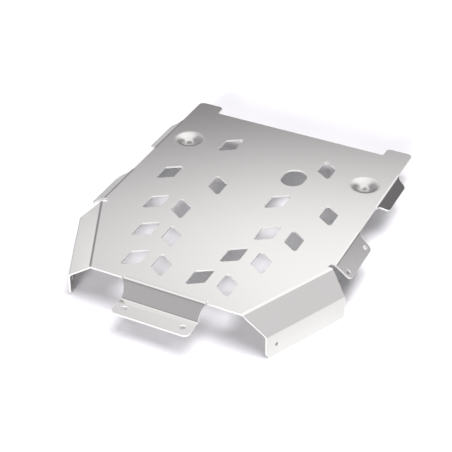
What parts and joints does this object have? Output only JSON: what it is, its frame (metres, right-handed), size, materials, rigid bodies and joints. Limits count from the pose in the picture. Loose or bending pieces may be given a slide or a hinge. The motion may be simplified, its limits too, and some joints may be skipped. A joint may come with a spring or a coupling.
{
  "type": "quad bike skid plate",
  "caption": "Folded sheet-metal skid plate for a quad bike, with leaning vent holes, an oval drain hole, recessed bolt holes, slanted side flanges and wings, and a stepped front flange.",
  "frame": {"origin": "midway between the two recessed bolt holes, on the face under their seats, which meets the machine", "axes": "+Z out of the outer face of the flat plate, away from the machine; +Y along the machine from the stepped flange to the edge with two tabs; +X across it, to the side with the drain hole"},
  "size_m": [0.4582, 0.5581, 0.0679],
  "materials": {
    "skid_plate": "finely brushed, satin, uncoated, with bright cut edges"
  },
  "bodies": {
    "root": {"skid_plate": "skid_plate"}
  },
  "joints": []
}
